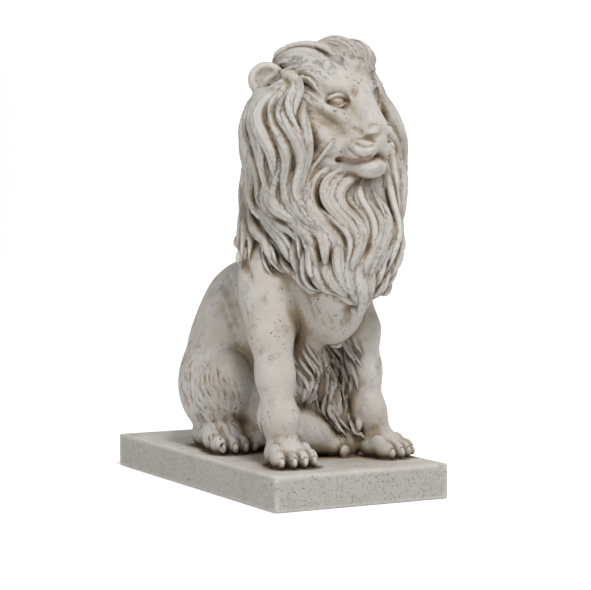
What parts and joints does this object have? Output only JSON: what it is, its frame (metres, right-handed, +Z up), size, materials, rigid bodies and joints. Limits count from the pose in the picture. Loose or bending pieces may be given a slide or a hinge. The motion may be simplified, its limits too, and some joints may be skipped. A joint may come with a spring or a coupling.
{
  "type": "sitting lion statue",
  "caption": "Sitting lion with a full mane, head turned to its left, cast in one piece with its flat rectangular plinth, as a small garden ornament.",
  "frame": {"origin": "the middle of the plinth's underside", "axes": "+Z up, the lion looks towards -Y along the plinth's long side, +X is the lion's own left"},
  "size_m": [0.16, 0.31, 0.38],
  "materials": {
    "cast_stone": "stone-coloured cast resin, dull, pale warm grey with brown dirt in its hollows and small pits"
  },
  "bodies": {
    "root": {"lion_statue": "cast_stone"}
  },
  "joints": []
}
